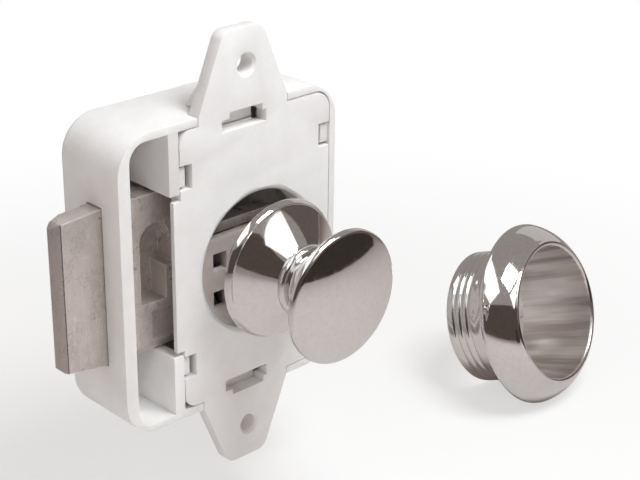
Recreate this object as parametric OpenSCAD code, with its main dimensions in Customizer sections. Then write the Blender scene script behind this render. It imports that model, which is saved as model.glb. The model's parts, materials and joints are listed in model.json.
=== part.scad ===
// Push-knob touch latch for a cabinet door, with the trim ring for the door's outside.
// Millimetres. X to the right, Y into the door's back space, Z up.
// The origin is midway between the two screw holes, in the plane where the latch meets the door.
// Inside the modules the numbers are counted from the knob's axis; placed() shifts them.

/* [Case] */
// outside width of the case
case_w = 45.6; // [40:0.1:60]
// outside height of the case
case_h = 51.8; // [46:0.1:66]
// outside depth of the case, front rim to back
case_d = 15.2; // [14.8:0.1:20]
// radius of the case's four outer corners
case_r = 6.5; // [3:0.1:8]
// radius of the corners inside the case
inner_r = 3.2; // [1:0.1:4]
// rounding of the edge around the back
back_round = 1.2; // [0.4:0.1:1.6]
// thickness of the wall that the bolt comes through
side_wall = 2.3; // [1.6:0.1:3]
// thickness of the other three side walls
thin_wall = 1.3; // [1:0.1:1.8]
// thickness of the back wall
back_wall = 1.8; // [1.2:0.1:2.4]
// distance from the knob's axis to the bolt side's outer face
bolt_side = 28; // [26:0.1:34]
// height of the screw holes' middle above the knob's axis
mid_up = 1.6; // [0:0.1:3]
// gap between pieces that only lie beside each other
ease = 0.2; // [0.1:0.05:0.3]

/* [Cover plate] */
// thickness of the plate and its two ears
plate_t = 2.4; // [1.8:0.1:3]
// thickness of the plate's lip over the bolt
lip_t = 0.9; // [0.6:0.1:1.4]
// distance between the two screw holes
hole_gap = 65; // [60:0.5:84]
// radius of the screw holes
hole_r = 1.6; // [1.4:0.1:2.2]
// sideways place of the screw holes from the knob's axis
hole_x = -2.2; // [-6:0.1:6]
// width of an ear where it leaves the plate
ear_base_w = 18.6; // [16:0.1:24]
// width of an ear between the centres of its tip rounds
ear_tip_w = 5.4; // [3:0.1:8]
// radius of an ear's two tip rounds
ear_tip_r = 2; // [1.4:0.1:2.6]
// radius of the round opening for the knob
open_r = 12.2; // [12.1:0.1:13]
// how far the ring around the opening stands up
ring_up = 0.5; // [0.2:0.1:1]
// thickness of the guide floor behind the opening
floor_t = 1.4; // [1:0.1:2]
// width of the snap slots under the ears
slot_w = 9.4; // [7:0.1:12]
// height of the snap slots
slot_h = 3.1; // [2.4:0.1:4]

/* [Bolt] */
// height of the bolt
bolt_h = 27.2; // [22:0.1:30]
// how far the bolt stands out of the case
bolt_out = 8.6; // [7:0.1:10]
// thickness of the bolt's nose, front to back
nose_t = 3.6; // [3:0.1:4.2]
// depth of the bolt's front face behind the door plane
bolt_y = 4.7; // [4.5:0.1:5.4]
// thickness of the bolt's body inside the case
body_t = 5.4; // [4.8:0.1:6]
// depth of the pocket in the bolt's body
pocket_d = 4; // [3:0.1:4.4]
// sideways movement of the bolt for each millimetre of the knob
ramp = 1.05; // [0.9:0.01:1.1]

/* [Knob] */
// how far the knob springs out when it is released
knob_travel = 8; // [6:0.1:8.4]
// radius of the knob's base band
band_r = 12; // [11:0.1:12]
// radius of the knob's head
head_r = 11.3; // [10:0.1:11.9]
// radius of the knob's waist
waist_r = 5.5; // [4:0.1:7]
// distance from the door plane to the head's front edge, pushed in
head_out = 20.8; // [19:0.1:30]
// thickness of the head's rim
head_t = 1.3; // [1.2:0.1:2]
// radius of the shallow dome on the head
dome_r = 36; // [25:1:60]
// radius of the plunger's round stem
stem_r = 4.2; // [4:0.1:4.4]

/* [Trim ring] */
// radius of the ring's neck, for a round hole in the door
neck_r = 12.9; // [12.7:0.1:14]
// radius of the bore that the knob's head passes through
bore_r = 12; // [11.95:0.05:12.2]
// radius of the opening at the ring's front edge
mouth_r = 12.8; // [12.3:0.1:13.4]
// radius of the ring's widest rim
rim_r = 17.5; // [16:0.1:20]
// length of the ribbed neck
neck_l = 7; // [5:0.1:12]
// whole length of the ring
ring_l = 17.4; // [16:0.1:24]
// place of the ring's front centre beside the knob's axis
ring_at = [64.3, -14.7, -26.2]; // [-60:0.1:90]
// upward tilt of the ring as it stands beside the latch, degrees
ring_tilt = 20; // [0:0.1:30]
// sideways turn of the ring as it stands beside the latch, degrees
ring_turn = 9.4; // [0:0.1:30]

/* [Springs] */
// wire radius of the two bolt springs
side_wire = 0.3; // [0.2:0.05:0.4]
// mean radius of the two bolt springs
side_coil = 1.7; // [1.6:0.05:1.8]
// turns of each bolt spring
side_turns = 13; // [8:1:16]
// wire radius of the knob spring
knob_wire = 0.3; // [0.2:0.05:0.35]
// mean radius of the knob spring
knob_coil = 2.4; // [2.35:0.05:2.45]
// turns of the knob spring
knob_turns = 8; // [6:1:10]

/* [Hidden] */
$fn = 72;
e = 0.01;

// case
left_x = -bolt_side;
right_x = left_x + case_w;
top_z = mid_up + case_h / 2;
low_z = mid_up - case_h / 2;
in_left = left_x + side_wall;
in_right = right_x - thin_wall;
in_top = top_z - thin_wall;
in_low = low_z + thin_wall;
in_back = case_d - back_wall;

// plate
plate_right = in_right - ease;
plate_top = in_top - ease;
plate_low = in_low + ease;
plate_corner = 2.4;
rib_t = 2;
rib_x = left_x + 9.8;
plate_left = rib_x + rib_t + ease;
tab_left = rib_x + 0.7;
tab_top = mid_up + bolt_h / 2 - 0.6;
tab_low = mid_up - bolt_h / 2 + 0.2;
ear_x = hole_x - 0.6;
ear_z = hole_gap / 2 + 6.1;
ear_root = case_h / 2;
web_in = 5.4;
web_t = 1.6;
slot_x = hole_x - 0.5 - slot_w / 2;
floor_top = 4.8;
tongue_h = 2;
tongue_t = 1.8;
hook_t = 1;
clip_w = 2.4;
clip_h = 4.2;
clip_z = 16.7;
window_x = 7.7;
window_w = 2.9;
window_h = 3.2;
through = 2 * body_t;

// bolt
bolt_top = mid_up + bolt_h / 2;
bolt_low = mid_up - bolt_h / 2;
bolt_end = left_x - bolt_out;
bolt_travel = ramp * knob_travel;
body_right = -stem_r - bolt_travel - 0.4;
body_back = bolt_y + body_t;
bar_in = stem_r + 0.2;
bar_z = stem_r + 2;
bar_y = bolt_y + 0.1;
bar_t = 3;
end_bar_t = 1.2;
wedge_x = stem_r + 0.4;
wedge_z = 2.6;
wedge_back = in_back - 0.2;
side_z = bolt_h / 2 - 3.4;
side_y = bolt_y + body_t / 2;

// knob
band_y = -6.5;
band_t = 1.2;
knob_back = band_y + band_t;
stem_front = knob_back - 1.8;
waist_y = -10.9;
bead_y = waist_y - 1.1;
waist_in = waist_r - 0.5;
flare_r = min(head_r - 0.6 - waist_in, head_out - head_t + bead_y - 0.3);
flare_y = -(head_out - head_t - 0.1 - flare_r);
head_edge = 0.8;
dome_tilt = asin((head_r - head_edge) / (dome_r - head_edge));
dome_at = head_out - head_edge - (dome_r - head_edge) * cos(dome_tilt);
seat_y = 1;
screw_r = 1.25;
screw_head_r = 2;
screw_head_t = 1.5;
screw_tip = waist_y + 0.8;

// Shifts a piece from the knob's axis to the middle of the screw holes.
module placed() {
    translate([-hole_x, 0, -mid_up]) children();
}

// Rounded rectangle with its lower left corner at [x, z].
module soft_rect(x, z, w, h, r) {
    translate([x + r, z]) square([w - 2 * r, h]);
    translate([x, z + r]) square([w, h - 2 * r]);
    for (a = [x + r, x + w - r], b = [z + r, z + h - r]) translate([a, b]) circle(r);
}

// Turns a drawing in X and Z into a plate from y0 to y1.
module slab(y0, y1) {
    translate([0, y1, 0]) rotate([90, 0, 0]) linear_extrude(y1 - y0) children();
}

// Turns a drawing in X and Y into a plate from z0 to z1.
module layer(z0, z1) {
    translate([0, 0, z0]) linear_extrude(z1 - z0) children();
}

// Round rod along Y.
module rod_y(x, z, r, y0, y1) {
    translate([x, y1, z]) rotate([90, 0, 0]) cylinder(r = r, h = y1 - y0);
}

// Round rod along X.
module rod_x(y, z, r, x0, x1) {
    translate([x0, y, z]) rotate([0, 90, 0]) cylinder(r = r, h = x1 - x0);
}

// Points along an arc, from one angle to another.
function arc(at, r, from, to, steps) =
    [for (i = [0:steps]) let (a = from + (to - from) * i / steps) at + r * [cos(a), sin(a)]];

// Turns a drawing of radius and distance forward around the knob's axis.
module turned() {
    rotate([90, 0, 0]) rotate_extrude($fn = 120) children();
}

// Section across one side of a box: width w, depth d, rounded by q at the back.
module side_section(w, d, q) {
    square([w, d - q]);
    translate([q, 0]) square([w - 2 * q, d]);
    for (a = [q, w - q]) translate([a, d - q]) circle(q);
}

// Box with round corners and a rounded edge around the back.
module round_back_box(x, z, w, h, d, r, q) {
    translate([x + r, 0, z]) rotate([90, 0, 90]) linear_extrude(w - 2 * r)
        mirror([1, -1]) side_section(h, d, q);
    translate([x, 0, z + r]) linear_extrude(h - 2 * r) side_section(w, d, q);
    for (a = [x + r, x + w - r], b = [z + r, z + h - r]) translate([a, 0, b])
        rotate([-90, 0, 0]) rotate_extrude() {
            square([r, d - q]);
            square([r - q, d]);
            translate([r - q, d - q]) circle(q);
        }
}

// One coil along Z from 0 to len, as a swept round wire with flat end turns.
module coil(len, r, wire, turns) {
    steps = 18;
    sides = 8;
    dead = 0.75;
    n = round(turns * steps);
    low = wire;
    rise = len - 2 * wire;
    close = 2 * wire + 0.06;
    function at(i) = let (t = i / steps, last = turns - dead)
        t < dead ? low + close * t
        : t > last ? low + rise - close * (turns - t)
        : low + close * dead + (rise - 2 * close * dead) * (t - dead) / (last - dead);
    points = [for (i = [0 : n], s = [0 : sides - 1])
        let (a = 360 * i / steps, b = 360 * s / sides, q = r + wire * cos(b))
        [q * cos(a), q * sin(a), at(i) + wire * sin(b)]];
    faces = [
        [for (s = [0 : sides - 1]) s],
        for (i = [0 : n - 1], s = [0 : sides - 1])
            let (p = (s + 1) % sides)
            [i * sides + s, (i + 1) * sides + s, (i + 1) * sides + p, i * sides + p],
        [for (s = [sides - 1 : -1 : 0]) n * sides + s]
    ];
    polyhedron(points, faces, convexity = 6);
}

// Point where a line from b touches the circle of radius r at c, on side s.
function touch(b, c, r, s) = let (d = b - c, l = norm(d), a = s * acos(r / l))
    c + r / l * [d[0] * cos(a) - d[1] * sin(a), d[0] * sin(a) + d[1] * cos(a)];

// Ear above the plate, drawn for the upper one: a tapering tongue with a two-round tip.
module ear_shape(base) {
    a = [ear_x - ear_tip_w / 2, ear_z - ear_tip_r];
    b = [ear_x + ear_tip_w / 2, ear_z - ear_tip_r];
    p = [ear_x - ear_base_w / 2, ear_root];
    q = [ear_x + ear_base_w / 2, ear_root];
    polygon([[p[0], base], p, touch(p, a, ear_tip_r, -1), a + [0, ear_tip_r],
        b + [0, ear_tip_r], touch(q, b, ear_tip_r, 1), q, [q[0], base]]);
    for (c = [a, b]) translate(c) circle(ear_tip_r);
}

// Repeats a feature of the upper half in the lower half, about the case's middle.
module both_halves() {
    translate([0, 0, mid_up]) {
        children();
        mirror([0, 0, 1]) children();
    }
}

module case_ribs() {
    // two walls that the bolt slides between, standing behind the plate's left edge
    for (s = [[bolt_top + 0.6, in_top + e], [in_low - e, bolt_low - 0.6]])
        translate([rib_x, 0, s[0]]) cube([rib_t, in_back + e, s[1] - s[0]]);
    // rails that the bolt's back runs on
    for (z = [bolt_top - 3, bolt_low + 1.2])
        translate([in_left - e, body_back + ease, z])
            cube([body_right - in_left - 0.7, in_back - body_back - ease + e, thin_wall + 0.5]);
    // snap tongues behind the plate's slots, gripped by the plate's hooks
    both_halves() translate([slot_x + 1, plate_t + ease, in_top - mid_up - tongue_h])
        cube([slot_w - 2, tongue_t, tongue_h + e]);
    // short nibs in the plate's edge notches
    both_halves() {
        translate([rib_x + rib_t - e, 0.6, clip_z - 1.6]) cube([1.6, 1.4, 3.2]);
        translate([in_right - 1.6, 0.6, clip_z - 1.6]) cube([1.6 + e, 1.4, 3.2]);
    }
}

module case_posts() {
    // guide pin inside the knob spring
    rod_y(0, 0, 1.5, 7, in_back + e);
    // pegs that carry the far ends of the bolt springs
    for (z = [mid_up + side_z, mid_up - side_z]) rod_x(side_y, z, 1.1, in_right - 3.6, in_right + e);
    // block that holds the catch wire
    translate([2.6, in_back - 2.2, -6]) cube([2.6, 2.2 + e, 1.9]);
    // stiffening webs on the inside of the back, clear of the bolt's path
    for (z = [in_top - 6.6, in_low + 5])
        translate([rib_x + rib_t - e, in_back - 2.4, z]) cube([in_right - rib_x - rib_t + 2 * e, 2.4 + e, 1.4]);
}

module case() {
    color([0.93, 0.93, 0.92]) placed() difference() {
        union() {
            difference() {
                round_back_box(left_x, low_z, case_w, case_h, case_d, case_r, back_round);
                slab(-1, in_back)
                    soft_rect(in_left, in_low, in_right - in_left, in_top - in_low, inner_r);
            }
            intersection() {
                round_back_box(left_x, low_z, case_w, case_h, case_d, case_r, back_round);
                union() {
                    case_ribs();
                    case_posts();
                }
            }
        }
        // slot that the bolt's nose comes through
        translate([left_x - 1, bolt_y - 0.15, bolt_low - 0.2])
            cube([side_wall + 2, nose_t + 0.3, bolt_h + 0.4]);
        // front edge of both end walls cut back under the ears
        both_halves() translate([ear_x - ear_base_w / 2 - ease, -1, case_h / 2 - 2 * thin_wall])
            cube([ear_base_w + 2 * ease, plate_t + ease + 1, 3 * thin_wall]);
        // room for the snap slots' outer part
        both_halves() translate([slot_x, -1, in_top - mid_up - e])
            cube([slot_w, plate_t + 1, thin_wall + 1]);
    }
}

module guide_floor() {
    // lower part of the opening is closed by a floor that the plunger runs through
    difference() {
        union() {
            intersection() {
                rod_y(0, 0, open_r + 1, plate_t - e, plate_t + floor_t);
                translate([-2 * open_r, 0, -2 * open_r]) cube([4 * open_r, through, 2 * open_r + floor_top]);
            }
            // low wall around the opening's back
            difference() {
                rod_y(0, 0, open_r + 1.1, plate_t - e, plate_t + floor_t);
                rod_y(0, 0, open_r, plate_t - 1, plate_t + floor_t + 1);
            }
        }
        // hole for the stem
        rod_y(0, 0, stem_r + 0.06, 0, through);
        // way for the wedge on the stem's right
        translate([0, 0, -wedge_z - 0.4]) cube([open_r + 0.3, through, 2 * wedge_z + 0.8]);
        // windows beside the stem
        for (z = [0.5, -6.4], s = [0, 1]) mirror([s, 0, 0])
            translate([-window_x, 0, z - window_h / 2]) cube([window_w, through, window_h]);
    }
}

module cover_plate() {
    color([0.94, 0.94, 0.93]) placed() difference() {
        union() {
            slab(0, plate_t) difference() {
                union() {
                    intersection() {
                        soft_rect(plate_left, plate_low, plate_right - plate_left,
                            plate_top - plate_low, plate_corner);
                        // fits the case's inner corners on the right
                        soft_rect(in_left, plate_low, plate_right - in_left, plate_top - plate_low, inner_r);
                    }
                    translate([0, mid_up]) {
                        ear_shape(plate_top - mid_up - 1);
                        mirror([0, 1]) ear_shape(plate_top - mid_up - 1);
                    }
                }
                circle(open_r, $fn = 120);
            }
            // thin lip that reaches over the bolt
            slab(0, lip_t) translate([tab_left, tab_low])
                square([plate_left - tab_left + 1, tab_top - tab_low]);
            // hooks behind the slots
            both_halves() translate([slot_x + 1, plate_t - e, in_top - mid_up - tongue_h - ease - hook_t]) {
                cube([slot_w - 2, tongue_t + 2 * ease + hook_t, hook_t]);
                translate([0, tongue_t + 2 * ease + e, 0])
                    cube([slot_w - 2, hook_t, hook_t + ease + tongue_h / 2]);
            }
            // raised ring with a sloping outside
            turned() polygon([[open_r, -e], [open_r, ring_up * 0.4], [open_r + 0.5, ring_up],
                [open_r + 1.1, ring_up], [open_r + 2.3, -e]]);
            guide_floor();
            // webs behind the ears' roots
            both_halves() for (x = [ear_x - web_in - web_t, ear_x + web_in])
                translate([x, 0, ear_root + 0.15]) rotate([90, 0, 90]) linear_extrude(web_t)
                    polygon([[plate_t - e, 0], [plate_t + 3.2, 0], [plate_t + 3.2, 0.8], [plate_t - e, 4.6]]);
            // pads around the screw holes
            both_halves() rod_y(hole_x, hole_gap / 2, hole_r + 1.7, plate_t - e, plate_t + 0.8);
        }
        // screw holes with a small lead-in
        both_halves() {
            rod_y(hole_x, hole_gap / 2, hole_r, -1, 6);
            translate([hole_x, -e, hole_gap / 2]) rotate([-90, 0, 0])
                cylinder(r1 = hole_r + 0.5, r2 = hole_r, h = 0.5);
        }
        // stepped slots under the ears
        both_halves() {
            translate([slot_x, -1, in_top - mid_up - 2.4])
                cube([slot_w, plate_t + 1, slot_h - 1]);
            translate([slot_x + 1.6, -1, in_top - mid_up - 1.4])
                cube([slot_w - 2.4, plate_t + 1 + 2 * e, slot_h - 0.9]);
        }
        // notches in both side edges
        both_halves() {
            translate([plate_left - 1, -1, clip_z - clip_h / 2]) cube([clip_w + 1, plate_t + 2, clip_h]);
            translate([plate_right - clip_w, -1, clip_z - clip_h / 2])
                cube([clip_w + 1, plate_t + 2, clip_h]);
        }
    }
}

module bolt_nose() {
    tip = nose_t * 0.4;
    intersection() {
        // seen from above: bevelled on both corners of the tip, more on the closing side
        layer(bolt_low, bolt_top) polygon([[in_left + 1, bolt_y], [bolt_end + 1.1, bolt_y],
            [bolt_end, bolt_y + tip], [bolt_end, bolt_y + tip + 0.7],
            [bolt_end + 3.2, bolt_y + nose_t], [in_left + 1, bolt_y + nose_t]]);
        // seen from the front: a little lower at the tip
        slab(bolt_y - 1, bolt_y + nose_t + 1) polygon([[in_left + 2, bolt_low], [in_left + 2, bolt_top],
            [left_x, bolt_top], [bolt_end + 0.7, bolt_top - 0.6], [bolt_end, bolt_top - 1.3],
            [bolt_end, bolt_low + 1.9], [bolt_end + 0.7, bolt_low + 1.2], [left_x, bolt_low]]);
    }
}

module bolt_pocket() {
    // open pocket with one rounded corner, closed at the right by a notched wall
    px = in_left + 4.8;
    pr = body_right - 2.8;
    z0 = mid_up - 5.4;
    z1 = mid_up + 8.4;
    slab(bolt_y - 1, bolt_y + pocket_d) {
        translate([px, z0]) square([pr - px, z1 - z0 - 3]);
        translate([px + 3, z0]) square([pr - px - 3, z1 - z0]);
        translate([px + 3, z1 - 3]) circle(3);
    }
    translate([pr - e, bolt_y - 1, mid_up + 0.4]) cube([1.6, pocket_d + 1, 5]);
    // shallow panel in the lower arm
    translate([px + 2, bolt_y - 1, bolt_low + 1.4]) cube([5.5, 1.5, z0 - bolt_low - 3]);
}

module bolt() {
    color([0.64, 0.61, 0.59]) placed() {
        difference() {
            union() {
                bolt_nose();
                translate([in_left + 0.1, bolt_y, bolt_low])
                    cube([body_right - in_left - 0.1, body_t, bolt_h]);
            }
            bolt_pocket();
            // relief along the body's top and bottom back edges
            for (z = [bolt_low - 1, bolt_top - 1]) translate([in_left - 1, body_back - 0.9, z])
                cube([body_right - in_left + 2, 2, 2]);
        }
        // two bars that pass the stem and join behind the wedge
        for (z = [-bar_z, stem_r + 0.3]) translate([body_right - 0.4, bar_y, z])
            cube([bar_in + 2.6 - body_right + 0.4, bar_t, bar_z - stem_r - 0.3]);
        layer(-bar_z, bar_z) polygon([[bar_in + 0.12 + 0.2, bar_y],
            [bar_in + 0.32 + ramp * end_bar_t, bar_y + end_bar_t],
            [bar_in + 2.6, bar_y + end_bar_t], [bar_in + 2.6, bar_y]]);
        // pegs for the two springs
        for (z = [mid_up + side_z, mid_up - side_z])
            rod_x(side_y, z, 1.1, body_right - 0.4, body_right + 3.4);
    }
}

module side_spring(z) {
    color([0.7, 0.7, 0.72]) placed() translate([body_right + 0.05, side_y, z]) rotate([0, 90, 0])
        coil(in_right - body_right - 0.1, side_coil, side_wire, side_turns);
}

module upper_bolt_spring() {
    side_spring(mid_up + side_z);
}

module lower_bolt_spring() {
    side_spring(mid_up - side_z);
}

// Wedge on the stem's right side, seen from above.
module wedge_shape() {
    polygon([[0, bar_y - 0.4], [stem_r - 0.1, bar_y - 0.4], [wedge_x - 0.1, bar_y],
        [wedge_x - 0.1 + ramp * (wedge_back - bar_y), wedge_back], [0, wedge_back]]);
}

module plunger() {
    color([0.9, 0.9, 0.88]) placed() difference() {
        union() {
            rod_y(0, 0, stem_r, stem_front, wedge_back);
            layer(-wedge_z, wedge_z) wedge_shape();
            // collar under the knob
            rod_y(0, 0, 6.4, knob_back + 0.05, knob_back + 1.4);
        }
        // bore for the knob spring, with a smaller seat for the screw's head
        rod_y(0, 0, 2.9, seat_y, wedge_back + 1);
        rod_y(0, 0, screw_head_r + 0.05, seat_y - 2, seat_y + 1);
        rod_y(0, 0, screw_r + 0.05, stem_front - 1, seat_y);
        // catch track in the wedge's underside: a straight run and a side run
        layer(-wedge_z - 1, -wedge_z + 1.1) {
            translate([3.1, bar_y - 1]) square([1.5, 12]);
            polygon([[3.8, wedge_back - 1.2], [5.9, wedge_back - 3.2], [5.9, wedge_back - 4.6],
                [3.8, wedge_back - 5.6], [3.8, wedge_back - 4.4], [4.9, wedge_back - 3.9],
                [4.9, wedge_back - 3.4], [3.8, wedge_back - 2.6]]);
        }
    }
}

module knob() {
    color([0.86, 0.86, 0.87]) placed() difference() {
        turned() {
            // base band, cone, waist
            polygon([[0, -knob_back], [band_r - 0.15, -knob_back], [band_r, -knob_back + 0.15],
                [band_r - 0.6, -band_y], [band_r - 0.8, -band_y], [waist_r, -waist_y],
                [waist_r, -bead_y], [0, -bead_y]]);
            // bead at the neck
            translate([waist_r - 0.3, -bead_y]) circle(0.95);
            // flare up to the head
            difference() {
                translate([0, -bead_y]) square([waist_in + flare_r, head_out - head_t + 0.3 + bead_y]);
                translate([waist_in + flare_r, -flare_y]) circle(flare_r);
                translate([waist_in, -bead_y - 1]) square([flare_r + 1, bead_y - flare_y + 1]);
            }
            // rim, its rounded edge and the shallow dome
            polygon(concat(
                [[0, head_out - head_t], [head_r - 0.2, head_out - head_t], [head_r, head_out - head_t + 0.2]],
                arc([head_r - head_edge, head_out - head_edge], head_edge, 0, 90 - dome_tilt, 8),
                arc([0, dome_at], dome_r, 90 - dome_tilt + 0.5, 90, 24)));
        }
        // socket for the stem and hole for the screw
        rod_y(0, 0, stem_r + 0.05, stem_front - 0.1, knob_back + 1);
        rod_y(0, 0, screw_r + 0.03, screw_tip - 0.4, stem_front);
    }
}

module knob_screw() {
    color([0.75, 0.73, 0.66]) placed() difference() {
        union() {
            rod_y(0, 0, screw_head_r, seat_y - 2, seat_y - 2 + screw_head_t);
            rod_y(0, 0, screw_r, screw_tip, seat_y - 2 + 0.1);
        }
        // cross recess in the head
        for (a = [0, 90]) rotate([0, a, 0]) translate([-1.1, seat_y - 1.2, -0.25]) cube([2.2, 2, 0.5]);
    }
}

module knob_spring() {
    color([0.7, 0.7, 0.72]) placed() translate([0, in_back - 0.05, 0]) rotate([90, 0, 0])
        coil(in_back - seat_y - 0.1, knob_coil, knob_wire, knob_turns);
}

module catch_wire() {
    r = 0.45;
    x = 3.85;
    z = -wedge_z - 0.75;
    color([0.72, 0.72, 0.74]) placed() {
        rod_y(x, z, r, bar_y + 0.6, in_back - 2.2);
        translate([x, bar_y + 0.6, z]) sphere(r);
        translate([x, bar_y + 0.6, z]) cylinder(r = r, h = 1.3);
        // foot bent down in front of its block
        translate([x, in_back - 2.2 - r, z - 2.4]) cylinder(r = r, h = 2.4);
    }
}

// Ring section: radius outward, distance along the neck forward.
module ring_section() {
    cove = 4.3;
    lip = 0.6;
    lip_at = [mouth_r + lip, ring_l - lip];
    lip_turn = 35;
    // the bulging front runs from the rim to the lip
    bulge = 10;
    rim_at = [rim_r, neck_l + cove + 0.6];
    chord = lip_at + lip * [cos(lip_turn), sin(lip_turn)] - rim_at;
    side = [-chord[1], chord[0]] / norm(chord);
    bulge_at = rim_at + chord / 2 + side * sqrt(bulge ^ 2 - norm(chord) ^ 2 / 4);
    rim_turn = atan2(rim_at[1] - bulge_at[1], rim_at[0] - bulge_at[0]);
    bulge_turn = 2 * asin(norm(chord) / 2 / bulge);
    difference() {
        polygon(concat(
            [[bore_r, 0], [neck_r - 0.4, 0], [neck_r, 0.4], [neck_r, neck_l], [rim_r, neck_l]],
            arc(bulge_at, bulge, rim_turn, rim_turn + bulge_turn, 16),
            arc(lip_at, lip, lip_turn + 10, 180, 12),
            [[bore_r, neck_l]]));
        // cove behind the rim
        translate([neck_r + cove - 0.03, neck_l]) circle(cove);
        translate([neck_r + cove - 0.03, neck_l - 1]) square([10, cove + 0.98]);
        // three round grooves around the neck
        for (g = [2.1, 3.65, 5.2]) translate([neck_r + 0.35, g]) circle(0.6);
    }
}

module trim_ring() {
    color([0.84, 0.84, 0.85]) placed() translate(ring_at) rotate([-ring_tilt, 0, ring_turn])
        translate([0, ring_l, 0]) turned() ring_section();
}

case();
cover_plate();
bolt();
upper_bolt_spring();
lower_bolt_spring();
plunger();
knob();
knob_screw();
knob_spring();
catch_wire();
trim_ring();
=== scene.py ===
import bpy
import json
import math
from mathutils import Matrix, Vector

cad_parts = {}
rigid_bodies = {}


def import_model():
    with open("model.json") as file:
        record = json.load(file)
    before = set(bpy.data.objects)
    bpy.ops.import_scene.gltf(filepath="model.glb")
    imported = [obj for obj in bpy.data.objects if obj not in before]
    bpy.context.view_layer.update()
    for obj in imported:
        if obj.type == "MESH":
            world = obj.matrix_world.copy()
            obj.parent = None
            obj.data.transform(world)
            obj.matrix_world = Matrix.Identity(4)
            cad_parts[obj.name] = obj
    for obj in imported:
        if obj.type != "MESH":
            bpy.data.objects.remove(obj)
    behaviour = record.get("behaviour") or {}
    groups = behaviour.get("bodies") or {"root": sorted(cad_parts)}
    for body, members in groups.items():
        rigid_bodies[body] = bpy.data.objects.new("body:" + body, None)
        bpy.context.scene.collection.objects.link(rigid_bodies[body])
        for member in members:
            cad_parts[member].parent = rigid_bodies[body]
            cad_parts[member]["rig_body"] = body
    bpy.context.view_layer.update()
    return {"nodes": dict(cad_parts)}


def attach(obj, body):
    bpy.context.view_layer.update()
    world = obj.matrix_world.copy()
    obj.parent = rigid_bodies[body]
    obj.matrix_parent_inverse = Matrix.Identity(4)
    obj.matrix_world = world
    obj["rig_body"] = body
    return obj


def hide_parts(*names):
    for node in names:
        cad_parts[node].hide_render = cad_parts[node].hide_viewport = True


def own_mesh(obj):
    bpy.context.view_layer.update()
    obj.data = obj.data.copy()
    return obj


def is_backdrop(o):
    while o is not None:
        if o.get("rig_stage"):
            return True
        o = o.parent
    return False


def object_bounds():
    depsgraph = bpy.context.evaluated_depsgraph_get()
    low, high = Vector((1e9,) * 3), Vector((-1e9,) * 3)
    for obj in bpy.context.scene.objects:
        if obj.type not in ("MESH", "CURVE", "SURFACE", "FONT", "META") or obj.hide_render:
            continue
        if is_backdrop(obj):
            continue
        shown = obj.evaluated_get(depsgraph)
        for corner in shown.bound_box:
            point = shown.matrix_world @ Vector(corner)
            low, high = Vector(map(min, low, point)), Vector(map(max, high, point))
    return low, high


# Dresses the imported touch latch: rounded edges, real finishes, camera and soft studio light.
# The frame is in metres. The dictionaries give millimetres, degrees and sRGB hex colours,
# and distances of the studio in metres where the name ends with M.

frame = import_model()
mm = 0.001


def fromHex(text):
    # sRGB hex to linear colour
    channels = [int(text[i:i + 2], 16) / 255 for i in (1, 3, 5)]
    return tuple(c / 12.92 if c <= 0.04045 else ((c + 0.055) / 1.055) ** 2.4 for c in channels) + (1.0,)


def addNode(tree, kind, inputs=None, stops=None, **settings):
    # one shader node with its settings, its socket values and its incoming links;
    # a Mix node's share is socket 0, its colours are sockets 6 and 7, and its mixed colour is output 2
    node = tree.nodes.new("ShaderNode" + kind)
    for name, value in settings.items():
        setattr(node, name, value)
    for socket, value in (inputs or {}).items():
        if isinstance(value, bpy.types.NodeSocket):
            tree.links.new(value, node.inputs[socket])
        else:
            node.inputs[socket].default_value = value
    if stops:
        ramp = node.color_ramp
        while len(ramp.elements) < len(stops):
            ramp.elements.new(0.5)
        for element, (place, shade) in zip(ramp.elements, stops):
            element.position = place
            element.color = fromHex(shade) if isinstance(shade, str) else (shade, shade, shade, 1.0)
    return node


def newMaterial(name):
    material = bpy.data.materials.new(name)
    material.use_nodes = True
    tree = material.node_tree
    tree.nodes.clear()
    shader = addNode(tree, "BsdfPrincipled")
    addNode(tree, "OutputMaterial", {"Surface": shader.outputs["BSDF"]})
    place = addNode(tree, "TexCoord")
    # patterns are counted in millimetres
    scaled = addNode(tree, "Mapping", {"Vector": place.outputs["Object"], "Scale": (1000, 1000, 1000)})
    return material, tree, shader, scaled.outputs["Vector"]


def deselectAll():
    if bpy.context.object and bpy.context.object.mode != "OBJECT":
        bpy.ops.object.mode_set(mode="OBJECT")
    bpy.ops.object.select_all(action="DESELECT")


def makeActive(piece):
    deselectAll()
    piece.select_set(True)
    bpy.context.view_layer.objects.active = piece


def editAll():
    bpy.ops.object.mode_set(mode="EDIT")
    bpy.ops.mesh.select_all(action="SELECT")


def roundEdges(piece, widthMm, cornerAngle):
    edge = piece.modifiers.new("edge", "BEVEL")
    edge.width = widthMm * mm
    edge.segments = 2
    edge.limit_method = "ANGLE"
    edge.angle_limit = math.radians(cornerAngle)
    edge.use_clamp_overlap = True
    bpy.ops.object.modifier_apply(modifier="edge")


# ABS, injection moulded in a lightly spark-eroded tool: fine satin grain, faint cloudy flow marks,
# and a little light passing into thin walls
mouldedWhite = {
    "litColour": "#EDECEB",
    "cloudColour": "#E7E5E4",
    "cloudMm": 5.0,
    "sinkDepthMm": 0.02,
    "grainMm": 0.22,               # coarser than the real 0.05, so that it shows at this distance
    "grainDepthMm": 0.006,
    "grainShade": 0.93,            # how light the grain's hollows stay
    "specksPerGrain": 0.35,
    "roughness": (0.38, 0.56),
    "ior": 1.54,
    "glow": 0.12,                  # share of the light that passes into the wall, and how far
    "glowMm": 0.6,
    "paintedShadeColour": "#B3A6A0",     # painted shade on the floor round the stem, where the knob keeps the light off
    "paintedShadeAt": (2.2, 1.0, -1.6),
    "paintedShadeFadeMm": (10.2, 12.4),      # where it fades, from the stem's axis
    "paintedShadeEdgeMm": 0.6,           # half the depth over which it starts, behind the door's plane
    "paintedShadeDeepMm": (13.3, 13.7),  # only as deep as the floor's inside
}

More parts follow.
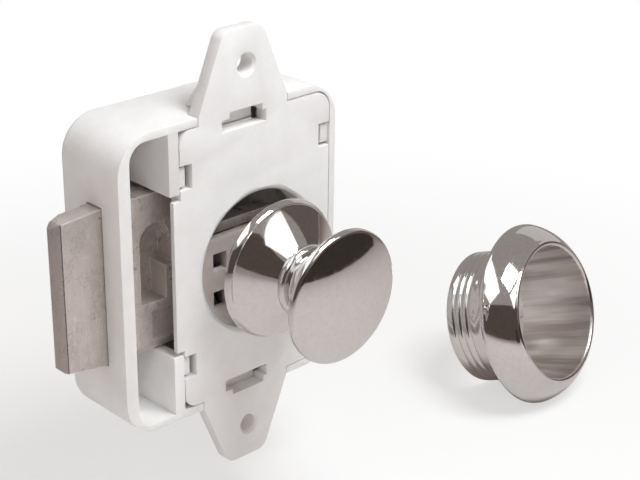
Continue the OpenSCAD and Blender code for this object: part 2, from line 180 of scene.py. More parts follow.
# acetal, injection moulded: a little ivory and more waxy than the case
mouldedIvory = dict(mouldedWhite, litColour="#E4E1DA", cloudColour="#DAD6CD", roughness=(0.28, 0.42))


def makeMoulding(name, values):
    material, tree, shader, place = newMaterial(name)
    cloud = addNode(tree, "TexNoise", {"Vector": place, "Scale": 1 / values["cloudMm"], "Detail": 3.0,
        "Roughness": 0.55})
    grain = addNode(tree, "TexNoise", {"Vector": place, "Scale": 1 / values["grainMm"], "Detail": 2.0,
        "Roughness": 0.6})
    speck = addNode(tree, "TexVoronoi", {"Vector": place,
        "Scale": values["specksPerGrain"] / values["grainMm"]}, feature="F1")
    tint = addNode(tree, "ValToRGB", {"Fac": cloud.outputs["Fac"]},
        stops=[(0.3, values["cloudColour"]), (0.7, values["litColour"])])
    fleck = addNode(tree, "ValToRGB", {"Fac": grain.outputs["Fac"]},
        stops=[(0.25, values["grainShade"]), (0.6, 1.0)])
    colour = addNode(tree, "Mix", {0: 1.0, 6: tint.outputs["Color"], 7: fleck.outputs["Color"]},
        data_type="RGBA", blend_type="MULTIPLY")
    # painted shade over what lies behind the door's plane near the stem, where the knob keeps the light off
    fadeStart, fadeEnd = values["paintedShadeFadeMm"]
    deepStart, deepEnd = values["paintedShadeDeepMm"]
    moved = addNode(tree, "VectorMath", {0: place, 1: values["paintedShadeAt"]}, operation="SUBTRACT")
    split = addNode(tree, "SeparateXYZ", {"Vector": moved.outputs["Vector"]})
    flat = addNode(tree, "CombineXYZ", {"X": split.outputs["X"], "Z": split.outputs["Z"]})
    away = addNode(tree, "VectorMath", {0: flat.outputs["Vector"]}, operation="LENGTH")
    near = addNode(tree, "MapRange", {"Value": away.outputs["Value"], "From Min": fadeStart,
        "From Max": fadeEnd, "To Min": 1.0, "To Max": 0.0})
    behind = addNode(tree, "MapRange", {"Value": split.outputs["Y"], "From Min": -values["paintedShadeEdgeMm"],
        "From Max": values["paintedShadeEdgeMm"]})
    within = addNode(tree, "MapRange", {"Value": split.outputs["Y"], "From Min": deepStart,
        "From Max": deepEnd, "To Min": 1.0, "To Max": 0.0})
    patchy = addNode(tree, "MapRange", {"Value": cloud.outputs["Fac"], "From Min": 0.3, "From Max": 0.7,
        "To Min": 0.75, "To Max": 1.0})
    paintedShade = near.outputs["Result"]
    for limit in (behind, within, patchy):
        paintedShade = addNode(tree, "Math", {0: paintedShade, 1: limit.outputs["Result"]}, operation="MULTIPLY").outputs[0]
    colour = addNode(tree, "Mix", {0: paintedShade, 6: colour.outputs[2], 7: fromHex(values["paintedShadeColour"])},
        data_type="RGBA")
    smooth, dull = values["roughness"]
    rough = addNode(tree, "MapRange", {"Value": speck.outputs["Distance"], "From Min": 0.1,
        "From Max": 0.8, "To Min": smooth, "To Max": dull})
    sink = addNode(tree, "Bump", {"Height": cloud.outputs["Fac"], "Strength": 0.5,
        "Distance": values["sinkDepthMm"] * mm})
    bump = addNode(tree, "Bump", {"Height": grain.outputs["Fac"], "Normal": sink.outputs["Normal"],
        "Strength": 0.7, "Distance": values["grainDepthMm"] * mm})
    tree.links.new(colour.outputs[2], shader.inputs["Base Color"])
    tree.links.new(rough.outputs["Result"], shader.inputs["Roughness"])
    tree.links.new(bump.outputs["Normal"], shader.inputs["Normal"])
    shader.inputs["IOR"].default_value = values["ior"]
    shader.inputs["Subsurface Weight"].default_value = values["glow"]
    shader.inputs["Subsurface Radius"].default_value = (1.0, 0.9, 0.8)
    shader.inputs["Subsurface Scale"].default_value = values["glowMm"] * mm
    return material


# zinc alloy, die cast and tumbled: warm grey skin crossed by fine curved scratches, dark and bright,
# with small dents, a painted highlight along the edges, painted shade on the nose's end, and a dark line
# along its front corner
tumbledZinc = {
    "skin": "#CCC2BD",
    "shade": "#BEB4AF",
    "cloudMm": 3.0,
    "roughness": (0.24, 0.36),
    "metallic": 0.45,
    # colour of the dark scratches, and of the painted shade on the nose's end
    "darkScratchAndEndShade": "#8E8580",
    "creaseShare": 0.25,
    "scratch": "#F0EBE7",
    "scratchShare": 0.4,
    "scratchMm": (1.6, 0.96),      # size of the dark and of the bright ones' curves
    "scratchTurn": (0.4, 1.3),     # and how they are turned, in radians
    "scratchDepthMm": 0.02,
    "dentMm": 0.6,
    "dentDepthMm": 0.02,
    # painted highlight along the edges: its colour, width and share
    "edgeHighlight": "#FDFAF8",
    "edgeHighlightMm": 0.4,
    "edgeHighlightShare": 0.75,
    "endShadeShare": 0.55,              # painted shade: how far the nose's end goes towards the colour of the dark scratches
    "cornerLine": "#3E3733",
    "cornerLineAt": (-33.3, 5.0),        # dark line along the nose's front corner, and how far back it goes
    "cornerLineMm": (0.044, 0.11),       # half its width, without and with its soft edges
    "cornerLineShare": 0.85,
}


def makeTumbledZinc(name, values):
    material, tree, shader, place = newMaterial(name)
    cloud = addNode(tree, "TexNoise", {"Vector": place, "Scale": 1 / values["cloudMm"], "Detail": 4.0,
        "Roughness": 0.6})
    tone = addNode(tree, "ValToRGB", {"Fac": cloud.outputs["Fac"]},
        stops=[(0.3, values["shade"]), (0.7, values["skin"])])
    # scratches run where a field passes through its middle value; the two fields lie apart
    lines = []
    for i, (size, turn) in enumerate(zip(values["scratchMm"], values["scratchTurn"])):
        turned = addNode(tree, "Mapping", {"Vector": place, "Rotation": (turn, 0.5 * turn, turn),
            "Location": (7.0 * i, 3.0, 5.0 * i), "Scale": (1.0, 1.0, 0.25)})
        field = addNode(tree, "TexNoise", {"Vector": turned.outputs["Vector"], "Scale": 1 / size,
            "Detail": 2.0, "Roughness": 0.5, "Distortion": 1.2})
        away = addNode(tree, "Math", {0: field.outputs["Fac"], 1: 0.5}, operation="SUBTRACT")
        near = addNode(tree, "Math", {0: away.outputs[0]}, operation="ABSOLUTE")
        line = addNode(tree, "MapRange", {"Value": near.outputs[0], "From Min": 0.0, "From Max": 0.02,
            "To Min": 1.0, "To Max": 0.0})
        lines.append(line.outputs["Result"])
    both = addNode(tree, "Math", {0: lines[0], 1: lines[1]}, operation="MAXIMUM")
    dent = addNode(tree, "TexVoronoi", {"Vector": place, "Scale": 1 / values["dentMm"]}, feature="F1")
    pit = addNode(tree, "MapRange", {"Value": dent.outputs["Distance"], "From Min": 0.0, "From Max": 0.35,
        "To Min": 1.0, "To Max": 0.0})
    creased = addNode(tree, "Math", {0: lines[0], 1: values["creaseShare"]}, operation="MULTIPLY")
    worn = addNode(tree, "Math", {0: lines[1], 1: values["scratchShare"]}, operation="MULTIPLY")
    # painted highlight along the edges, convex and concave, where the rounded normal leaves the face's own
    rounded = addNode(tree, "Bevel", {"Radius": values["edgeHighlightMm"] * mm})
    surface = addNode(tree, "NewGeometry")
    agree = addNode(tree, "VectorMath", {0: rounded.outputs["Normal"], 1: surface.outputs["Normal"]},
        operation="DOT_PRODUCT")
    paintedEdgeHighlight = addNode(tree, "MapRange", {"Value": agree.outputs["Value"], "From Min": 0.995,
        "From Max": 0.93, "To Min": 0.0, "To Max": values["edgeHighlightShare"]})
    # painted shade on the nose's end, and a dark line along its corner
    cornerLineX, cornerLineBack = values["cornerLineAt"]
    cornerLineCore, cornerLineEdge = values["cornerLineMm"]
    split = addNode(tree, "SeparateXYZ", {"Vector": place})
    end = addNode(tree, "Math", {0: split.outputs["X"], 1: cornerLineX}, operation="LESS_THAN")
    paintedEndShade = addNode(tree, "Math", {0: end.outputs[0], 1: values["endShadeShare"]}, operation="MULTIPLY")
    offset = addNode(tree, "Math", {0: split.outputs["X"], 1: cornerLineX}, operation="SUBTRACT")
    across = addNode(tree, "Math", {0: offset.outputs[0]}, operation="ABSOLUTE")
    cornerLine = addNode(tree, "MapRange", {"Value": across.outputs[0], "From Min": cornerLineCore,
        "From Max": cornerLineEdge, "To Min": values["cornerLineShare"], "To Max": 0.0})
    front = addNode(tree, "Math", {0: split.outputs["Y"], 1: cornerLineBack}, operation="LESS_THAN")
    cornerLine = addNode(tree, "Math", {0: cornerLine.outputs["Result"], 1: front.outputs[0]}, operation="MULTIPLY")
    colour = tone.outputs["Color"]
    for share, shade in ((creased.outputs[0], "darkScratchAndEndShade"), (worn.outputs[0], "scratch"),
            (paintedEdgeHighlight.outputs["Result"], "edgeHighlight"), (paintedEndShade.outputs[0], "darkScratchAndEndShade"), (cornerLine.outputs[0], "cornerLine")):
        colour = addNode(tree, "Mix", {0: share, 6: colour, 7: fromHex(values[shade])},
            data_type="RGBA").outputs[2]
    smooth, dull = values["roughness"]
    rough = addNode(tree, "MapRange", {"Value": cloud.outputs["Fac"], "From Min": 0.3, "From Max": 0.7,
        "To Min": smooth, "To Max": dull})
    pitBump = addNode(tree, "Bump", {"Height": pit.outputs["Result"], "Strength": 0.15,
        "Distance": values["dentDepthMm"] * mm}, invert=True)
    scratchBump = addNode(tree, "Bump", {"Height": both.outputs[0], "Normal": pitBump.outputs["Normal"],
        "Strength": 0.6, "Distance": values["scratchDepthMm"] * mm}, invert=True)
    tree.links.new(colour, shader.inputs["Base Color"])
    tree.links.new(rough.outputs["Result"], shader.inputs["Roughness"])
    tree.links.new(scratchBump.outputs["Normal"], shader.inputs["Normal"])
    shader.inputs["Metallic"].default_value = values["metallic"]
    return material


# zinc alloy, polished and nickel plated: mirror with a warm grey tone, a slow ripple left by
# polishing, and a haze of hair-fine wipe marks
platedNickel = {
    "tone": "#DDDBD9",
    "haze": "#D6D3D1",
    "rippleMm": 7.0,
    "rippleDepthMm": 0.05,
    "wipeMm": 0.8,                 # coarser than the real 0.1, so that it shows at this distance
    "wipeDepthMm": 0.003,
    "roughness": (0.04, 0.1),
    "boreLight": "#F6F3F1",        # the ring's bore is only brushed, so it shows dull bands along it
    "boreDark": "#BDB4AE",
    "boreBandMm": 3.6,
    "boreBandDraw": 0.06,          # the bands change this much slower along the bore than round it
    "boreRough": 0.34,
}


def makePlatedNickel(name, values, bore=None):
    # bore: the ring's place, the radius within which its back is brushed, and the gain per mm forwards
    material, tree, shader, place = newMaterial(name)
    ripple = addNode(tree, "TexNoise", {"Vector": place, "Scale": 1 / values["rippleMm"], "Detail": 2.0})
    wipe = addNode(tree, "TexNoise", {"Vector": place, "Scale": 1 / values["wipeMm"], "Detail": 4.0,
        "Roughness": 0.7})
    tone = addNode(tree, "ValToRGB", {"Fac": wipe.outputs["Fac"]},
        stops=[(0.35, values["haze"]), (0.6, values["tone"])])
    smooth, dull = values["roughness"]
    rough = addNode(tree, "MapRange", {"Value": wipe.outputs["Fac"], "From Min": 0.35, "From Max": 0.7,
        "To Min": smooth, "To Max": dull})
    slow = addNode(tree, "Bump", {"Height": ripple.outputs["Fac"], "Strength": 0.2,
        "Distance": values["rippleDepthMm"] * mm})
    fine = addNode(tree, "Bump", {"Height": wipe.outputs["Fac"], "Normal": slow.outputs["Normal"],
        "Strength": 0.1, "Distance": values["wipeDepthMm"] * mm})
    colour, roughness = tone.outputs["Color"], rough.outputs["Result"]
    if bore:
        ringAt, radius, gain = bore
        back = ringAt.inverted()
        local = addNode(tree, "Mapping", {"Vector": place, "Location": back.translation / mm,
            "Rotation": back.to_euler()})
        split = addNode(tree, "SeparateXYZ", {"Vector": local.outputs["Vector"]})
        flat = addNode(tree, "VectorMath", {0: local.outputs["Vector"], 1: (1.0, 0.0, 1.0)},
            operation="MULTIPLY")
        out = addNode(tree, "VectorMath", {0: flat.outputs["Vector"]}, operation="LENGTH")
        wall = addNode(tree, "Math", {0: split.outputs["Y"], 1: -gain, 2: radius},
            operation="MULTIPLY_ADD")
        inside = addNode(tree, "Math", {0: out.outputs["Value"], 1: wall.outputs[0]},
            operation="LESS_THAN")
        drawn = addNode(tree, "VectorMath", {0: local.outputs["Vector"],
            1: (1.0, values["boreBandDraw"], 1.0)}, operation="MULTIPLY")
        band = addNode(tree, "TexNoise", {"Vector": drawn.outputs["Vector"],
            "Scale": 1 / values["boreBandMm"], "Detail": 3.0, "Roughness": 0.6})
        brushed = addNode(tree, "ValToRGB", {"Fac": band.outputs["Fac"]},
            stops=[(0.38, values["boreDark"]), (0.6, values["boreLight"])])
        colour = addNode(tree, "Mix", {0: inside.outputs[0], 6: colour, 7: brushed.outputs["Color"]},
            data_type="RGBA").outputs[2]
        # a Mix node's plain values are sockets 2 and 3
        roughness = addNode(tree, "Mix", {0: inside.outputs[0], 2: roughness,
            3: values["boreRough"]}).outputs[0]
    tree.links.new(colour, shader.inputs["Base Color"])
    tree.links.new(roughness, shader.inputs["Roughness"])
    tree.links.new(fine.outputs["Normal"], shader.inputs["Normal"])
    shader.inputs["Metallic"].default_value = 1.0
    return material


# spring steel, drawn and zinc plated: bright grey wire with faint lines of the drawing die
drawnSteel = {
    "tone": "#B9B8BA",
    "dark": "#8D8C90",
    "lineMm": 0.3,
    "lineDepthMm": 0.005,
    "roughness": (0.2, 0.4),
}


def makeDrawnSteel(name, values):
    material, tree, shader, place = newMaterial(name)
    streak = addNode(tree, "TexNoise", {"Vector": place, "Scale": 1 / values["lineMm"], "Detail": 3.0})
    tone = addNode(tree, "ValToRGB", {"Fac": streak.outputs["Fac"]},
        stops=[(0.3, values["dark"]), (0.7, values["tone"])])
    smooth, dull = values["roughness"]
    rough = addNode(tree, "MapRange", {"Value": streak.outputs["Fac"], "To Min": smooth, "To Max": dull})
    bump = addNode(tree, "Bump", {"Height": streak.outputs["Fac"], "Strength": 0.2,
        "Distance": values["lineDepthMm"] * mm})
    tree.links.new(tone.outputs["Color"], shader.inputs["Base Color"])
    tree.links.new(rough.outputs["Result"], shader.inputs["Roughness"])
    tree.links.new(bump.outputs["Normal"], shader.inputs["Normal"])
    shader.inputs["Metallic"].default_value = 1.0
    return material


caseWhite = makeMoulding("absWhiteMoulded", mouldedWhite)
innerWhite = makeMoulding("acetalIvoryMoulded", mouldedIvory)
castBolt = makeTumbledZinc("zincTumbled", tumbledZinc)
plated = makePlatedNickel("zincPolishedNickelPlated", platedNickel)
wire = makeDrawnSteel("springSteelDrawn", drawnSteel)
print("materials made")


def dress(piece, node, material):
    piece.data.materials.clear()
    piece.data.materials.append(material)
    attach(piece, frame["nodes"][node]["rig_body"])
    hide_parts(node)
    print("made", node, len(piece.data.polygons))


# rounded copies of the CAD nodes: width of the edges, material and slot
softEdges = {
    "case": (0.22, caseWhite, "white_moulding"),
    "cover_plate": (0.15, caseWhite, "white_moulding"),
    "plunger": (0.12, innerWhite, "inner_moulding"),
    "bolt": (0.07, castBolt, "cast_bolt"),
}


def softenedCopy(node, widthMm):
    source = frame["nodes"][node]
    piece = source.copy()
    piece.data = source.data.copy()
    piece.name = node + "Softened"
    piece.parent = None
    for key in list(piece.keys()):
        del piece[key]
    bpy.context.scene.collection.objects.link(piece)
    makeActive(piece)
    if piece.data.has_custom_normals:
        bpy.ops.mesh.customdata_custom_splitnormals_clear()
    # the loose triangles are joined, and flat faces become one
    editAll()
    bpy.ops.mesh.remove_doubles(threshold=0.002 * mm)
    bpy.ops.mesh.dissolve_limited(angle_limit=math.radians(0.6))
    bpy.ops.object.mode_set(mode="OBJECT")
    roundEdges(piece, widthMm, cornerAngle=40)
    bpy.ops.object.shade_smooth_by_angle(angle=math.radians(35))
    return piece


for node, (widthMm, material, slotName) in softEdges.items():
    dress(softenedCopy(node, widthMm), node, material)


def arc(at, radius, start, end, steps):
    # points along an arc from one angle to another
    turns = [math.radians(start + (end - start) * i / steps) for i in range(steps + 1)]
    return [(at[0] + radius * math.cos(turn), at[1] + radius * math.sin(turn)) for turn in turns]


def spunPiece(name, profile, closed, edgeMm, place):
    # profile: radius and distance forward, spun about the knob's or ring's axis and put in its place
    deselectAll()
    bpy.ops.mesh.primitive_plane_add(size=mm)
    piece = bpy.context.object
    piece.name = name
    editAll()
    bpy.ops.mesh.merge(type="CENTER")
    points = profile + [profile[0]] if closed else profile
    bpy.ops.transform.translate(value=(points[0][0] * mm, -points[0][1] * mm, 0))
    for here, there in zip(points, points[1:]):
        step = ((there[0] - here[0]) * mm, (here[1] - there[1]) * mm, 0)
        bpy.ops.mesh.extrude_region_move(TRANSFORM_OT_translate={"value": step})
    bpy.ops.mesh.select_all(action="SELECT")
    bpy.ops.mesh.spin(steps=160, angle=2 * math.pi, center=(0, 0, 0), axis=(0, 1, 0))
    bpy.ops.mesh.select_all(action="SELECT")
    bpy.ops.mesh.remove_doubles(threshold=0.002 * mm)
    bpy.ops.mesh.normals_make_consistent(inside=False)
    bpy.ops.object.mode_set(mode="OBJECT")
    piece.matrix_world = place
    bpy.ops.object.transform_apply(location=True, rotation=True, scale=True)
    roundEdges(piece, edgeMm, cornerAngle=30)
    # narrow steps are rounded away altogether, which leaves slivers to merge
    editAll()
    bpy.ops.mesh.remove_doubles(threshold=0.001 * mm)
    bpy.ops.mesh.dissolve_degenerate(threshold=0.001 * mm)
    bpy.ops.object.mode_set(mode="OBJECT")
    bpy.ops.object.shade_smooth_by_angle(angle=math.radians(40))
    return piece


# knob: turned base band and cone, bead, flare, rim and shallow dome, hollow behind for the stem
knobValues = {
    "axis": (2.2, -1.6),
    "band": (12.0, 5.3, 6.5),      # radius, back and front
    "bandChamfer": 0.15,
    "bandSteps": (0.6, 0.8),       # how far the band's front edge and the cone's foot lie inside it
    "waist": (5.5, 10.9),          # radius and place of the cone's top
    "bead": (5.2, 12.0, 0.95),     # radius and place of its middle, and its own radius
    "neck": 5.0,
    "flare": 5.7,                  # radius of the hollow under the head
    "flareStep": 0.1,
    "head": (11.3, 19.5, 20.8),    # radius, back and front of the rim
    "headChamfer": 0.2,
    "headEdge": 0.8,
    "dome": 36.0,                  # radius of the head's face
    "socket": (4.25, 7.2),         # radius and floor
    "screwHole": (1.28, 10.5),
    "edge": 0.1,
}


def makeKnob(values):
    bandR, bandBack, bandFront = values["band"]
    beadR, beadY, beadSize = values["bead"]
    headR, headBack, headFront = values["head"]
    socketR, socketY = values["socket"]
    holeR, holeY = values["screwHole"]
    frontStep, footStep = values["bandSteps"]
    chamfer, headChamfer = values["bandChamfer"], values["headChamfer"]
    neck, flare, edge, dome = (values[k] for k in ("neck", "flare", "headEdge", "dome"))
    # the dome runs into the rounded edge of the head, and the bead into the cone and the neck
    tilt = math.degrees(math.asin((headR - edge) / (dome - edge)))
    domeAt = headFront - edge - (dome - edge) * math.cos(math.radians(tilt))
    low = -math.degrees(math.acos((values["waist"][0] - beadR) / beadSize))
    high = math.degrees(math.acos((neck - beadR) / beadSize))
    flareAt = (neck + flare, headBack - values["flareStep"] - flare)
    profile = [(0, holeY), (holeR, holeY), (holeR, socketY), (socketR, socketY), (socketR, bandBack),
        (bandR - chamfer, bandBack), (bandR, bandBack + chamfer), (bandR - frontStep, bandFront),
        (bandR - footStep, bandFront), values["waist"]]
    profile += arc((beadR, beadY), beadSize, low, high, steps=14)
    profile += arc(flareAt, flare, 180, 90, steps=24)
    profile += [(neck + flare, headBack), (headR - headChamfer, headBack), (headR, headBack + headChamfer)]
    profile += arc((headR - edge, headFront - edge), edge, 0, 90 - tilt, steps=8)
    # half a degree on, because the edge's arc already has the point where they meet
    profile += arc((0, domeAt), dome, 90 - tilt + 0.5, 90, steps=24)
    place = Matrix.Translation((values["axis"][0] * mm, 0, values["axis"][1] * mm))
    return spunPiece("knobTurned", profile, False, values["edge"], place)


dress(makeKnob(knobValues), "knob", plated)

# trim ring: grooved neck, cove, bulging front and rounded lip, mouth opening towards the front
ringValues = {
    "at": (66.5, -14.7, -27.8),    # middle of its front
    "tilt": 20.0,                  # it leans back by this and looks to the right by the next
    "turn": 9.4,
    "length": 17.4,
    "neck": (12.9, 7.0),           # radius and length
    "neckChamfer": 0.4,
    "grooves": (2.1, 3.65, 5.2),
    "groove": (0.35, 0.6),         # how far outside the neck its middle lies, and its own radius
    "grooveTurns": (234.3, 125.7),
    "bore": 12.0,
    "mouth": 12.8,
    "rim": 17.5,
    "rimLand": 0.6,
    "cove": 4.3,
    "coveTurns": (186.8, 92.0),
    "coveOverlap": (0.03, 0.02),   # how far it lies inside the neck and short of the rim's back
    "lip": 0.6,
    "lipTurn": 35.0,               # where on the lip's round the bulge ends
    "bulge": 10.0,                 # radius of the bulging front
    "edge": 0.1,
    "brushed": (11.9, 0.06),       # radius at the back, and gain per mm forwards, of the brushed inside
}


def ringPlace(values):
    return (Matrix.Translation(Vector(values["at"]) * mm)
        @ Matrix.Rotation(math.radians(values["turn"]), 4, "Z")
        @ Matrix.Rotation(math.radians(-values["tilt"]), 4, "X")
        @ Matrix.Translation((0, values["length"] * mm, 0)))


def makeRing(values):
    neckR, neckL = values["neck"]
    grooveOut, grooveR = values["groove"]
    coveIn, coveShort = values["coveOverlap"]
    chamfer, cove, lip, bulge, rim = (values[k] for k in ("neckChamfer", "cove", "lip", "bulge", "rim"))
    profile = [(values["bore"], 0), (neckR - chamfer, 0), (neckR, chamfer)]
    for along in values["grooves"]:
        profile += arc((neckR + grooveOut, along), grooveR, *values["grooveTurns"], steps=8)
    coveAt = (neckR + cove - coveIn, neckL)
    profile += arc(coveAt, cove, *values["coveTurns"], steps=24)
    profile += [(coveAt[0], neckL + cove - coveShort), (rim, neckL + cove - coveShort)]
    # the bulging front passes through the rim's edge and the lip
    rimAt = Vector((rim, neckL + cove + values["rimLand"]))
    lipAt = Vector((values["mouth"] + lip, values["length"] - lip))
    turn = math.radians(values["lipTurn"])
    chord = lipAt + Vector((math.cos(turn), math.sin(turn))) * lip - rimAt
    inward = Vector((-chord.y, chord.x)).normalized()
    bulgeAt = rimAt + chord / 2 + inward * math.sqrt(bulge ** 2 - chord.length_squared / 4)
    first = math.degrees(math.atan2(rimAt.y - bulgeAt.y, rimAt.x - bulgeAt.x))
    last = first + math.degrees(2 * math.asin(chord.length / 2 / bulge))
    profile += arc(bulgeAt, bulge, first, last, steps=20)
    # ten degrees on, because the bulge's arc already has the point where they meet
    profile += arc(lipAt, lip, values["lipTurn"] + 10, 180, steps=12)
    profile += [(values["bore"], neckL)]
    return spunPiece("trimRingTurned", profile, True, values["edge"], ringPlace(values))


platedBore = makePlatedNickel("zincPolishedNickelBrushedBore", platedNickel,
    bore=(ringPlace(ringValues), *ringValues["brushed"]))
dress(makeRing(ringValues), "trim_ring", platedBore)


# bolt springs: open coils between the bolt and the case's right wall
coilValues = {
    "from": -10.73,                # left and right end
    "to": 18.43,
    "y": 7.4,
    "z": {"upper_bolt_spring": 10.2, "lower_bolt_spring": -10.2},
    "radius": 1.69,                # of the wire's middle line
    "wire": 0.29,                  # radius of the wire
    "turns": 13,
    "travel": 8.4,                 # how far the bolt comes in
    "sides": 14,                   # facets round the wire and along a turn
    "steps": 28,
}


def makeCoil(name, z, values):
    deselectAll()
    bpy.ops.mesh.primitive_circle_add(vertices=values["sides"], radius=values["wire"] * mm)
    piece = bpy.context.object
    piece.name = name
    editAll()
    bpy.ops.transform.translate(value=(0, values["radius"] * mm, 0))
    bpy.ops.object.mode_set(mode="OBJECT")
    screw = piece.modifiers.new("coil", "SCREW")
    screw.axis = "X"
    screw.iterations = values["turns"]
    screw.screw_offset = (values["to"] - values["from"] - 2 * values["wire"]) * mm / values["turns"]
    screw.steps = screw.render_steps = values["steps"]
    bpy.ops.object.modifier_apply(modifier="coil")
    editAll()
    bpy.ops.mesh.fill_holes(sides=values["sides"])
    bpy.ops.mesh.select_all(action="SELECT")
    bpy.ops.mesh.normals_make_consistent(inside=False)
    bpy.ops.object.mode_set(mode="OBJECT")
    reach = max(v.co.x for v in piece.data.vertices)
    piece.location = (values["to"] * mm - reach, values["y"] * mm, z * mm)
    bpy.ops.object.transform_apply(location=True, rotation=True, scale=True)
    bpy.ops.object.shade_smooth_by_angle(angle=math.radians(50))
    return piece


for node, z in coilValues["z"].items():
    coil = makeCoil(node + "_coiled", z, coilValues)
    dress(coil, node, wire)
    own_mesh(coil)
print("pieces made")

# the other wire pieces stay CAD nodes
for node in ("knob_screw", "knob_spring", "catch_wire"):
    for place in frame["nodes"][node].material_slots:
        place.material = wire
print("nodes dressed")


# camera at the photograph's viewing angle
cameraValues = {
    "placeMm": (-155.176, -178.074, 106.704),
    "turn": (66.1655, -0.6475, -43.6770),
    "lensMm": 87.92,
    "sensorMm": 36,
}


def makeCamera(values):
    data = bpy.data.cameras.new("camera")
    data.lens = values["lensMm"]
    data.sensor_width = values["sensorMm"]
    data.clip_start = 10 * mm
    camera = bpy.data.objects.new("camera", data)
    bpy.context.scene.collection.objects.link(camera)
    camera.location = Vector(values["placeMm"]) * mm
    camera.rotation_euler = [math.radians(angle) for angle in values["turn"]]
    bpy.context.scene.camera = camera


makeCamera(cameraValues)


def fromWay(way, far):
    # point at a distance, from its angles to the right of the front (-Y) and up
    turn, rise = math.radians(way[0]), math.radians(way[1])
    return Vector((math.sin(turn) * math.cos(rise), -math.cos(turn) * math.cos(rise), math.sin(rise))) * far


# pale floor, which turns into plain white far from the latch
floorValues = {
    "colour": "#FBFAF9",
    "inMirror": "#DBD6D5",
    "roughness": 0.9,
    "fadeMm": (50, 190),
    "lift": 0.58,                  # share of plain white close by
    "gapMm": 0.3,
    "sizeM": 6,
}


def makeFloor(values):
    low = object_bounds()[0][2] - values["gapMm"] * mm
    deselectAll()
    bpy.ops.mesh.primitive_plane_add(size=values["sizeM"], location=(0, 0, low))
    floor = bpy.context.object
    floor.name = "floor"
    material, tree, shader, place = newMaterial("paleFloor")
    path = addNode(tree, "LightPath")
    colour = addNode(tree, "Mix", {0: path.outputs["Is Glossy Ray"], 6: fromHex(values["colour"]),
        7: fromHex(values["inMirror"])}, data_type="RGBA")
    tree.links.new(colour.outputs[2], shader.inputs["Base Color"])
    shader.inputs["Roughness"].default_value = values["roughness"]
    fadeStart, fadeEnd = values["fadeMm"]
    away = addNode(tree, "VectorMath", {0: place}, operation="LENGTH")
    fade = addNode(tree, "MapRange", {"Value": away.outputs["Value"], "From Min": fadeStart,
        "From Max": fadeEnd, "To Min": values["lift"]}, interpolation_type="SMOOTHSTEP")
    share = addNode(tree, "Math", {0: fade.outputs["Result"], 1: path.outputs["Is Camera Ray"]},
        operation="MULTIPLY")
    white = addNode(tree, "Emission", {"Color": (1, 1, 1, 1)})
    both = addNode(tree, "MixShader", {0: share.outputs[0], 1: shader.outputs["BSDF"],
        2: white.outputs["Emission"]})
    tree.links.new(both.outputs["Shader"], tree.nodes["Material Output"].inputs["Surface"])
    floor.data.materials.append(material)
    floor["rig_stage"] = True


# soft light from all round; the camera and clear pieces see white, and mirrors a dim room
worldValues = {
    "light": 0.265,
    "tint": "#FFEAE5",
    "roomInMirror": "#A29C99",
}


def makeWorld(values):
    world = bpy.data.worlds.new("studio")
    world.use_nodes = True
    bpy.context.scene.world = world
    tree = world.node_tree
    tree.nodes.clear()
    path = addNode(tree, "LightPath")
    seen = path.outputs["Is Camera Ray"]
    for ray in ("Is Glossy Ray", "Is Transmission Ray"):
        seen = addNode(tree, "Math", {0: seen, 1: path.outputs[ray]}, operation="MAXIMUM").outputs[0]
    strength = addNode(tree, "MapRange", {"Value": seen, "To Min": values["light"], "To Max": 1.0})
    plain = addNode(tree, "Mix", {0: seen, 6: fromHex(values["tint"]), 7: (1, 1, 1, 1)},
        data_type="RGBA")
    colour = addNode(tree, "Mix", {0: path.outputs["Is Glossy Ray"], 6: plain.outputs[2],
        7: fromHex(values["roomInMirror"])}, data_type="RGBA")
    back = addNode(tree, "Background", {"Color": colour.outputs[2], "Strength": strength.outputs["Result"]})
    addNode(tree, "OutputWorld", {"Surface": back.outputs["Background"]})


# way: degrees to the right of the front, and degrees up
studioLamps = {
    "key": {"way": (15, 62), "farM": 0.28, "sizeM": 0.13, "watts": 0.755, "tint": (0.93, 0.985, 1.0),
        "glossy": True},
    "fill": {"way": (-38, 26), "farM": 0.9, "sizeM": 0.8, "watts": 1.05, "tint": (1, 0.97, 0.95),
        "glossy": False},
    # low light that reaches the case's left wall
    "side": {"way": (-100, 32), "farM": 0.26, "sizeM": 0.2, "watts": 0.09, "tint": (0.93, 0.985, 1.0),
        "glossy": False},
}


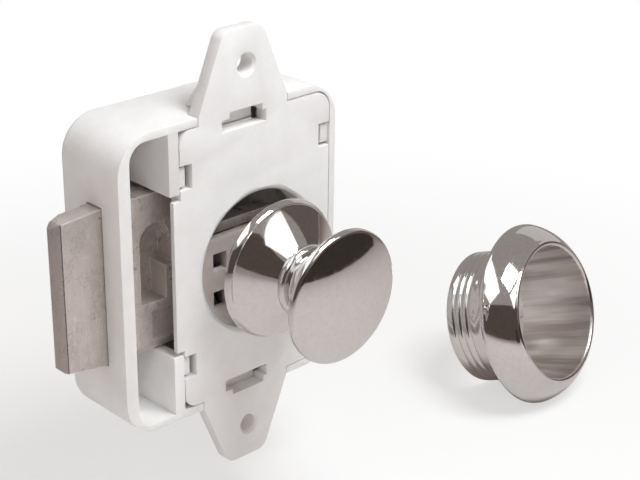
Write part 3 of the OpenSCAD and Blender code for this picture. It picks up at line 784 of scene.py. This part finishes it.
def makeLamp(name, values):
    data = bpy.data.lights.new(name, "AREA")
    data.shape = "SQUARE"
    data.size = values["sizeM"]
    data.energy = values["watts"]
    data.color = values["tint"]
    lamp = bpy.data.objects.new(name, data)
    bpy.context.scene.collection.objects.link(lamp)
    lamp.location = fromWay(values["way"], values["farM"])
    lamp.rotation_euler = lamp.location.to_track_quat("Z", "Y").to_euler()
    lamp.visible_glossy = values["glossy"]


# what the polished metal shows in the photograph: direction, how wide and high in degrees,
# how far in metres, colour, and how bright where that isn't 1
mirrorCards = {
    "darkFront": ((-47, 15), (84, 46), 1.2, "#574D48"),
    "darkLow": ((25, -1), (64, 16), 0.27, "#3D3733"),
    "dimRight": ((55, 15), (76, 30), 1.3, "#6B605D"),
    "paleFarRight": ((108, 15), (28, 40), 1.3, "#D0CBC9"),
    "paleLeft": ((-128, 12), (60, 44), 1.2, "#C4BDB9"),
    "whiteHighLeft": ((-118, 60), (70, 30), 1.2, "#FFFFFF", 1.7),
    "whiteUnderKey": ((14, 41), (42, 18), 1.15, "#FFFFFF", 1.7),
}


def makeCard(name, way, spread, far, colour, glowing=1.0):
    # flat card that only mirrors see, facing the latch
    deselectAll()
    bpy.ops.mesh.primitive_plane_add(size=1)
    card = bpy.context.object
    card.name = name
    wide, high = (2 * far * math.tan(math.radians(angle / 2)) for angle in spread)
    card.scale = (wide, high, 1)
    card.location = fromWay(way, far)
    card.rotation_euler = card.location.to_track_quat("Z", "Y").to_euler()
    material = bpy.data.materials.new(name + "Paper")
    material.use_nodes = True
    tree = material.node_tree
    tree.nodes.clear()
    glow = addNode(tree, "Emission", {"Color": fromHex(colour), "Strength": glowing})
    addNode(tree, "OutputMaterial", {"Surface": glow.outputs["Emission"]})
    card.data.materials.append(material)
    card.visible_camera = False
    card.visible_diffuse = False
    card.visible_shadow = False
    card.visible_transmission = False
    card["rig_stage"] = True


makeFloor(floorValues)
makeWorld(worldValues)
for name, values in studioLamps.items():
    makeLamp(name, values)
for name, card in mirrorCards.items():
    makeCard(name, *card)
bpy.context.scene.view_settings.view_transform = "Standard"
print("stage made")
